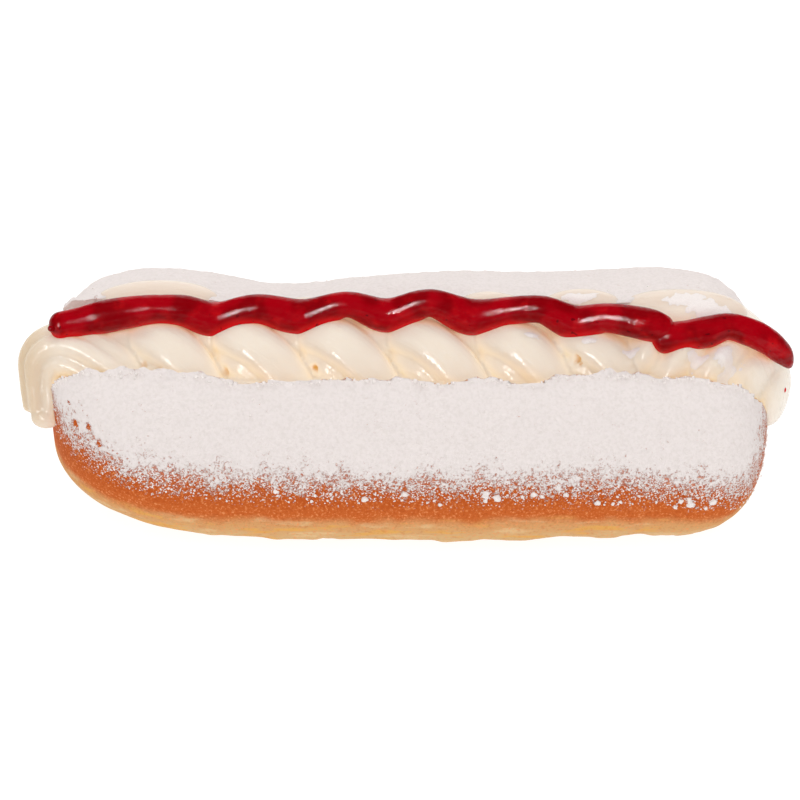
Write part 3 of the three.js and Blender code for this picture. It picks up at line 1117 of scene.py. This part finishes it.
def feed(tree, value, socket):
    if isinstance(value, Wire):
        tree.links.new(value.socket, socket)
    else:
        socket.default_value = value


class Look:
    def __init__(self, name, constants):
        self.material = bpy.data.materials.new(name)
        self.material.use_nodes = True
        self.tree = self.material.node_tree
        self.surface = self.tree.nodes["Principled BSDF"]
        for key, value in constants.items():
            self.surface.inputs[key].default_value = value
        self.place = self.node("ShaderNodeTexCoord", {}, {}, "Object")

    def node(self, kind, settings, inputs, output=0):
        made = self.tree.nodes.new(kind)
        for key, value in settings.items():
            setattr(made, key, value)
        for key, value in inputs.items():
            feed(self.tree, value, made.inputs[key])
        return Wire(self.tree, made.outputs[output])

    def set(self, key, value):
        feed(self.tree, value, self.surface.inputs[key])

    def mark(self, name):
        return self.node("ShaderNodeAttribute", {"attribute_name": name}, {}, "Fac")

    def axis(self, name):
        # place along X, Y or Z in millimetres
        return self.node("ShaderNodeSeparateXYZ", {}, {0: self.place}, name) / millimetre

    def noise(self, size, detail=2.0, rough=0.5, stretch=None):
        # lumps of the given size, about 0 to 1
        vector = self.place
        if stretch:
            factors = {0: self.place, 1: stretch}
            vector = self.node("ShaderNodeVectorMath", {"operation": "MULTIPLY"}, factors)
        values = {"Vector": vector, "Scale": 1 / (size * millimetre), "Detail": detail, "Roughness": rough}
        return self.node("ShaderNodeTexNoise", {}, values)

    def step(self, value, start, end):
        values = {"Value": value, "From Min": start, "From Max": end}
        return self.node("ShaderNodeMapRange", {"interpolation_type": "SMOOTHSTEP"}, values)

    def stepTo(self, value, start, end, share):
        return self.step(value, start, end) * share

    def openness(self, reach):
        # 1 in the open, less where other surfaces lie within the reach
        values = {"Distance": reach * millimetre}
        return self.node("ShaderNodeAmbientOcclusion", {"samples": 8}, values, "AO")

    def mix(self, share, first, second):
        return self.node("ShaderNodeMix", {"data_type": "RGBA"}, {0: share, 6: first, 7: second}, 2)

    def blend(self, share, other):
        values = {0: share, 1: Wire(self.tree, self.surface.outputs[0]), 2: other}
        mixed = self.node("ShaderNodeMixShader", {}, values)
        feed(self.tree, mixed, self.tree.nodes["Material Output"].inputs["Surface"])

    def bump(self, height, distance, strength):
        values = {"Height": height, "Distance": distance * millimetre, "Strength": strength}
        self.set("Normal", self.node("ShaderNodeBump", {}, values))

    def grains(self, size, density, wander=0.6, edge=0.03):
        # grains of the given size: a random share of the cells, and a dome over each
        values = {"Vector": self.place, "Scale": 1 / (size * wander * millimetre)}
        stray = self.node("ShaderNodeTexNoise", {}, values, 1)
        values = {0: stray, 1: (size * millimetre,) * 3, 2: self.place}
        vector = self.node("ShaderNodeVectorMath", {"operation": "MULTIPLY_ADD"}, values)
        values = {"Vector": vector, "Scale": 1 / (size * millimetre)}
        chance = self.node("ShaderNodeTexVoronoi", {}, values, "Color")
        chance = self.node("ShaderNodeSeparateXYZ", {}, {0: chance}, "X")
        distance = self.node("ShaderNodeTexVoronoi", {}, values, "Distance")
        return self.step(density - chance, -edge, edge), 1 - distance * distance


crustTones = {
    "dark": tone(160, 66, 22),
    "deep": tone(183, 84, 32),
    "brown": tone(193, 96, 43),
    "light": tone(226, 146, 92),
    "golden": tone(206, 154, 101),
    "yellow": tone(220, 164, 84),
    "cream": tone(222, 190, 142),
    "pale": tone(209, 172, 122),
    "crumb": tone(240, 214, 160),
    "sugar": tone(234, 225, 222),
    "sugarShade": tone(228, 219, 215),
}
crustLevels = {
    # heights between which each tone takes over from the one above it
    "tones": {"brown": (21, 16.5), "golden": (16.6, 12.6), "pale": (13, 8)},
    # the pale ring stands higher towards the left end and lower towards the right end
    "ringRises": [(-40, -84, 2.2), (48, 84, -3.2)],
    "ringWander": 5,
    "ringGrain": 1.5,
    "darkPores": (9, 17),
}
crustGrain = {
    # size of the lumps, detail, roughness and stretch
    "patches": (9, 3),
    "fine": (1.1, 3, 0.6),
    "streaks": (5, 3, 0.6, (0.35, 1, 1.5)),
    "pores": (0.6, 3, 0.7),
    "powder": (1, 6, 0.85),
    "drifts": (5, 2),
    "heaps": (2.6, 4, 0.6),
    "shade": (0.8, 3),
    # where specks of a tone start and are full, and their share
    "yellowStreaks": (0.52, 0.64, 0.8),
    "creamStreaks": (0.46, 0.36, 0.6),
    "deepSpecks": (0.5, 0.3, 0.3),
    "lightPores": (0.54, 0.66, 0.8),
    "darkPores": (0.48, 0.32, 0.5),
}
crustDust = {
    "drifts": 0.22,  # share of the drifts in the powder
    "coverWeight": 0.19,
    "edge": (0.595, 0.675),
    "film": (0.5, 1.1, 0.25),
    "shade": (0.6, 0.3),
    # size of single grains, how many lie on bare crust, how many more on covered, and where they start
    "grainSize": 0.28,
    "grainLeast": 0.01,
    "grainMore": (-0.1, 0.8, 0.3),
    "grainStart": (-0.2, 0.1),
    "roughness": (0.6, 0.35),  # of the bare crust, and how much more where it is dusted
    "powderRise": 1.5,
    "heapRise": 2,
    "grainRise": 0.3,
    "fineRise": 0.15,
    "poreRise": 0.25,
    "bump": (0.3, 0.6),  # distance and strength
}


def crustBody(look, fine, pores):
    tones, levels, grain = crustTones, crustLevels, crustGrain
    patches = look.noise(*grain["patches"])
    level = look.axis("Z") + (patches - 0.5) * levels["ringWander"] + (fine - 0.5) * levels["ringGrain"]
    for start, end, rise in levels["ringRises"]:
        level = level - look.step(look.axis("X"), start, end) * rise
    shares = {name: look.step(level, *limits) for name, limits in levels["tones"].items()}
    crust = tones["deep"]
    for name, share in shares.items():
        crust = look.mix(share, crust, tones[name])
    streaks = look.noise(*grain["streaks"])
    isRing = shares["golden"]
    crust = look.mix(look.stepTo(streaks, *grain["yellowStreaks"]) * isRing, crust, tones["yellow"])
    crust = look.mix(look.stepTo(streaks, *grain["creamStreaks"]) * isRing, crust, tones["cream"])
    crust = look.mix(look.stepTo(fine, *grain["deepSpecks"]), crust, tones["deep"])
    crust = look.mix(look.stepTo(pores, *grain["lightPores"]), crust, tones["light"])
    isBrown = look.step(level, *levels["darkPores"])
    crust = look.mix(look.stepTo(pores, *grain["darkPores"]) * isBrown, crust, tones["dark"])
    return look.mix(look.mark("wall"), crust, tones["crumb"])


def crustLook():
    look = Look("crust", {"Specular IOR Level": 0.02})
    tones, grain, dusting = crustTones, crustGrain, crustDust
    fine, pores = look.noise(*grain["fine"]), look.noise(*grain["pores"])
    crust = crustBody(look, fine, pores)
    cover = look.mark("cover")
    drifts = dusting["drifts"]
    powder = look.noise(*grain["powder"]) * (1 - drifts) + look.noise(*grain["drifts"]) * drifts
    dust = look.step(powder + cover * dusting["coverWeight"], *dusting["edge"])
    dust = dust.most(look.stepTo(cover, *dusting["film"]))
    density = dusting["grainLeast"] + look.stepTo(cover, *dusting["grainMore"])
    grains, dome = look.grains(dusting["grainSize"], density)
    dust = dust.most(grains * look.step(cover, *dusting["grainStart"]))
    shaded = look.step(look.noise(*grain["shade"]), *dusting["shade"])
    sugared = look.mix(shaded, tones["sugar"], tones["sugarShade"])
    look.set("Base Color", look.mix(dust, crust, sugared))
    bare, more = dusting["roughness"]
    look.set("Roughness", bare + dust * more)
    heaps = look.noise(*grain["heaps"])
    relief = dust * (powder * dusting["powderRise"] + heaps * dusting["heapRise"])
    relief = relief + grains * dome * dusting["grainRise"]
    relief = relief + fine * dusting["fineRise"] + pores * dusting["poreRise"]
    look.bump(relief, *dusting["bump"])
    return look.material


sugarTones = {
    "light": tone(236, 228, 224),
    "shade": tone(229, 220, 216),
    "between": tone(253, 247, 243),  # painted light: lighter between lumps, where light is passed to and fro
}
sugarGrain = {
    "fine": (0.3, 2),
    "shade": (0.6, 0.35),
    # reach in which other surfaces count for the painted bounce light, and openness where it starts and is
    # full
    "reach": 12,
    "between": (0.8, 0.3),
    "bump": (0.1, 0.5),
}


def sugarLook():
    look = Look("sugar", {"Roughness": 0.95, "Specular IOR Level": 0.1})
    grain = sugarGrain
    fine = look.noise(*grain["fine"])
    colour = look.mix(look.step(fine, *grain["shade"]), sugarTones["light"], sugarTones["shade"])
    # painted bounce light: the sugar is lighter where other surfaces lie near
    between = look.step(look.openness(grain["reach"]), *grain["between"])
    look.set("Base Color", look.mix(between, colour, sugarTones["between"]))
    look.bump(fine, *grain["bump"])
    return look.material


creamTones = {
    "pale": tone(236, 225, 211),
    "shaded": tone(245, 234, 217),  # painted light: lighter between the strands, where light is passed to and fro
    "smear": tone(226, 210, 195),  # the flat smears behind the jam
    "end": tone(214, 192, 164),  # painted shade on the turn of the last loop, which curves away from the light
    # painted crease shade: warm yellow where light is passed to and fro inside the creases
    "paintedCreaseTone": tone(255, 210, 130),
    "none": tone(0, 0, 0),
    "paintedGlow": tone(255, 231, 188),  # painted glow: light passed on through the cream into its creases, given off as emission
    # painted shade in the small holes between the strands
    "paintedHoleShade": tone(222, 158, 40),
}
creamGrain = {
    # painted crease tint and painted bounce light: reach in which other surfaces count, openness where each
    # starts and is full, and its share
    "creaseReach": 4,
    "paintedCrease": (0.6, 0.1, 0.6),
    "betweenReach": 12,
    "between": (0.8, 0.3),
    # places of the smears and of the painted shade on the last turn
    "smearAcross": (0, 4),
    "smearHeight": (39, 42),
    "endShadeAlong": (-78, -89),
    "gloss": (4, 2),
    "roughness": (0.13, 0.1),  # least, and how much more it may be
    "swirl": (2.5, 2),
    "fine": (0.7, 2),
    "streakWidth": 1.3,
    "streakLength": 18,
    "swirlRise": 0.6,
    "fineRise": 0.2,
    "streakRise": 1.2,
    "bump": (0.3, 0.5),
}
creamSurface = {
    "Specular IOR Level": 0.045,
    "Subsurface Weight": 1.0,
    "Subsurface Radius": (0.001, 0.001, 0.001),  # in metres
    "Subsurface Scale": 1.0,
    # strength of the painted glow in the creases
    "Emission Strength": 0.12,
}


def creamLook():
    look = Look("cream", creamSurface)
    tones, grain = creamTones, creamGrain
    # painted crease shade, strongest where other surfaces lie very near
    paintedCrease = look.stepTo(look.openness(grain["creaseReach"]), *grain["paintedCrease"])
    # painted bounce light: 1 where other surfaces lie near
    between = look.step(look.openness(grain["betweenReach"]), *grain["between"])
    isBehind = look.step(look.axis("Y"), *grain["smearAcross"])
    isSmear = isBehind * look.step(look.axis("Z"), *grain["smearHeight"])
    # painted bounce light: the cream turns to the lighter shaded tone where other surfaces lie near
    colour = look.mix(between, tones["pale"], tones["shaded"])
    colour = look.mix(isSmear, colour, tones["smear"])
    # painted shade on the turn of the last loop at the left end
    colour = look.mix(look.step(look.axis("X"), *grain["endShadeAlong"]), colour, tones["end"])
    colour = look.mix(paintedCrease, colour, tones["paintedCreaseTone"])
    # painted shade in the holes between the strands
    look.set("Base Color", look.mix(look.mark("paintedHoleShade"), colour, tones["paintedHoleShade"]))
    # painted glow: the creases give off light where other surfaces lie near
    look.set("Emission Color", look.mix(between, tones["none"], tones["paintedGlow"]))
    least, more = grain["roughness"]
    look.set("Roughness", least + look.noise(*grain["gloss"]) * more)
    around, along = look.mark("around") / grain["streakWidth"], look.mark("along") / grain["streakLength"]
    way = look.node("ShaderNodeCombineXYZ", {}, {"X": around, "Y": along})
    streak = look.node("ShaderNodeTexNoise", {}, {"Vector": way, "Scale": 1.0, "Detail": 2.0})
    relief = look.noise(*grain["swirl"]) * grain["swirlRise"]
    relief = relief + look.noise(*grain["fine"]) * grain["fineRise"]
    look.bump(relief + streak * grain["streakRise"], *grain["bump"])
    return look.material


jamTones = {
    "dark": tone(130, 0, 8),
    "deep": tone(158, 0, 14),
    "thin": tone(206, 20, 24),
    "seed": tone(70, 0, 8),
}
jamGrain = {
    # size of the lumps, detail and roughness
    "lumps": (3, 3),
    "fine": (0.7, 4, 0.65),
    "skin": (1.3, 5, 0.75),
    "clouds": (8, 1),
    "seeds": (1.1, 0),
    # where each starts and is full, and its share
    "thinLumps": (0.5, 0.85, 0.5),
    "darkClouds": (0.58, 0.42),
    "seedSpecks": (0.79, 0.83, 0.7),
    "dullThin": (0.5, 0.95),
    "dullSkin": (0.48, 0.53),
    "roughness": (0.07, 0.06),  # least, and how much more on lumps
    "fineRise": 0.7,
    "bump": (0.3, 0.5),
}


def jamLook():
    look = Look("jam", {"Specular IOR Level": 0.13})
    tones, grain = jamTones, jamGrain
    lumps = look.noise(*grain["lumps"])
    isThin = look.mark("thin")
    isDark = look.step(look.noise(*grain["clouds"]), *grain["darkClouds"])
    red = look.mix(isDark, tones["deep"], tones["dark"])
    red = look.mix(isThin.most(look.stepTo(lumps, *grain["thinLumps"])), red, tones["thin"])
    colour = look.mix(look.stepTo(look.noise(*grain["seeds"]), *grain["seedSpecks"]), red, tones["seed"])
    look.set("Base Color", colour)
    least, more = grain["roughness"]
    look.set("Roughness", least + lumps * more)
    look.bump(look.noise(*grain["fine"]) * grain["fineRise"] + lumps, *grain["bump"])
    matte = {"Base Color": colour, "Roughness": 0.2, "Specular IOR Level": 0.045}
    isDull = look.step(look.noise(*grain["skin"]), *grain["dullSkin"])
    isDull = look.step(isThin, *grain["dullThin"]).most(isDull)
    look.blend(isDull, look.node("ShaderNodeBsdfPrincipled", {}, matte))
    return look.material


def dress(piece, material, node):
    piece.data.materials.clear()
    piece.data.materials.append(material)
    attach(piece, "root")
    if node:
        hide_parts(node)


dress(bun, crustLook(), "bun")
dress(cream, creamLook(), "cream")
dress(jam, jamLook(), "jam")
dress(sugar, sugarLook(), None)
print("stage: looks set")

stageLook = {
    "floorTone": (0.3, 0.3, 0.3, 1.0),
    "floorGlow": 0.85,
    "floorHalf": 3.0,  # in metres
    "skyStrength": 0.73,
    "distance": 720,
    "elevation": 42,
    "aim": (-1.29, -1.255, 20.606),
    "lens": 138.17,
    "sensor": 36,
}
stageLights = {
    # place and size in metres, power, and whether it shows only in shines
    "front": ((0, -0.97, 0.87), (2, 1), 5.8, False),
    "top": ((0, 0.7, 1.1), (1.4, 1.4), 6.8, False),
    "glint": ((-0.5, -0.75, 0.62), (0.16, 0.42), 48, True),
    "rim": ((0, 1.5, 0.5), (1, 1), 5, True),
}
lightAim = Vector((0, 0, 0.02))
white = (1.0, 1.0, 1.0, 1.0)


def makeFloor():
    half = stageLook["floorHalf"]
    corners = [(-half, -half, 0), (half, -half, 0), (half, half, 0), (-half, half, 0)]
    mesh = bpy.data.meshes.new("floor")
    mesh.from_pydata(corners, [], [(0, 1, 2, 3)])
    constants = {"Roughness": 1.0, "Specular IOR Level": 0.0, "Base Color": stageLook["floorTone"]}
    constants |= {"Emission Color": white, "Emission Strength": stageLook["floorGlow"]}
    mesh.materials.append(Look("floor", constants).material)
    addObject("floor", mesh)


def softLight(name, place, size, power, isGlint):
    light = bpy.data.lights.new(name, "AREA")
    light.shape = "RECTANGLE"
    light.size, light.size_y = size
    light.energy = power
    made = addObject(name, light)
    made.location = place
    made.rotation_euler = (lightAim - Vector(place)).to_track_quat("-Z", "Y").to_euler()
    made.visible_glossy = isGlint
    made.visible_diffuse = not isGlint


def makeSky():
    world = bpy.data.worlds.new("sky")
    world.use_nodes = True
    background = world.node_tree.nodes["Background"]
    background.inputs["Color"].default_value = white
    background.inputs["Strength"].default_value = stageLook["skyStrength"]
    world.cycles_visibility.glossy = False
    bpy.context.scene.world = world
    bpy.context.scene.view_settings.view_transform = "Standard"


def makeCamera():
    camera = bpy.data.cameras.new("camera")
    camera.lens = stageLook["lens"]
    camera.sensor_width = stageLook["sensor"]
    made = addObject("camera", camera)
    tilt = math.radians(stageLook["elevation"])
    back = Vector((0, -math.cos(tilt), math.sin(tilt)))
    made.location = (Vector(stageLook["aim"]) + back * stageLook["distance"]) * millimetre
    made.rotation_euler = (-back).to_track_quat("-Z", "Y").to_euler()
    bpy.context.scene.camera = made


makeFloor()
for name, values in stageLights.items():
    softLight(name, *values)
makeSky()
makeCamera()
print("stage: floor, lights and camera set")
